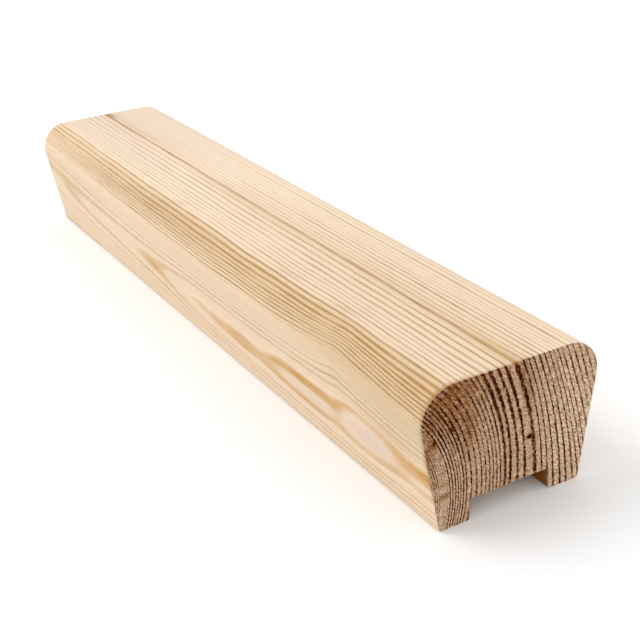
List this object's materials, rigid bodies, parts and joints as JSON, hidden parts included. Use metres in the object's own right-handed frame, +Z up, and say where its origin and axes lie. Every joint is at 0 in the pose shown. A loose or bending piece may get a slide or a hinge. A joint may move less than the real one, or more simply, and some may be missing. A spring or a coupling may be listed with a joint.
{
  "type": "stair handrail length",
  "caption": "Straight length of planed pine handrail: flat top, rounded shoulders, tapered sides, and a groove along the underside that takes spindle tops or a metal core rail.",
  "frame": {"origin": "mid-length, midway between the two feet, on the plane that they rest on", "axes": "+X along the rail, +Y across it, +Z up to the flat top"},
  "size_m": [0.3, 0.06, 0.045],
  "materials": {
    "pine": "matte"
  },
  "bodies": {
    "root": {"handrail": "pine"}
  },
  "joints": []
}
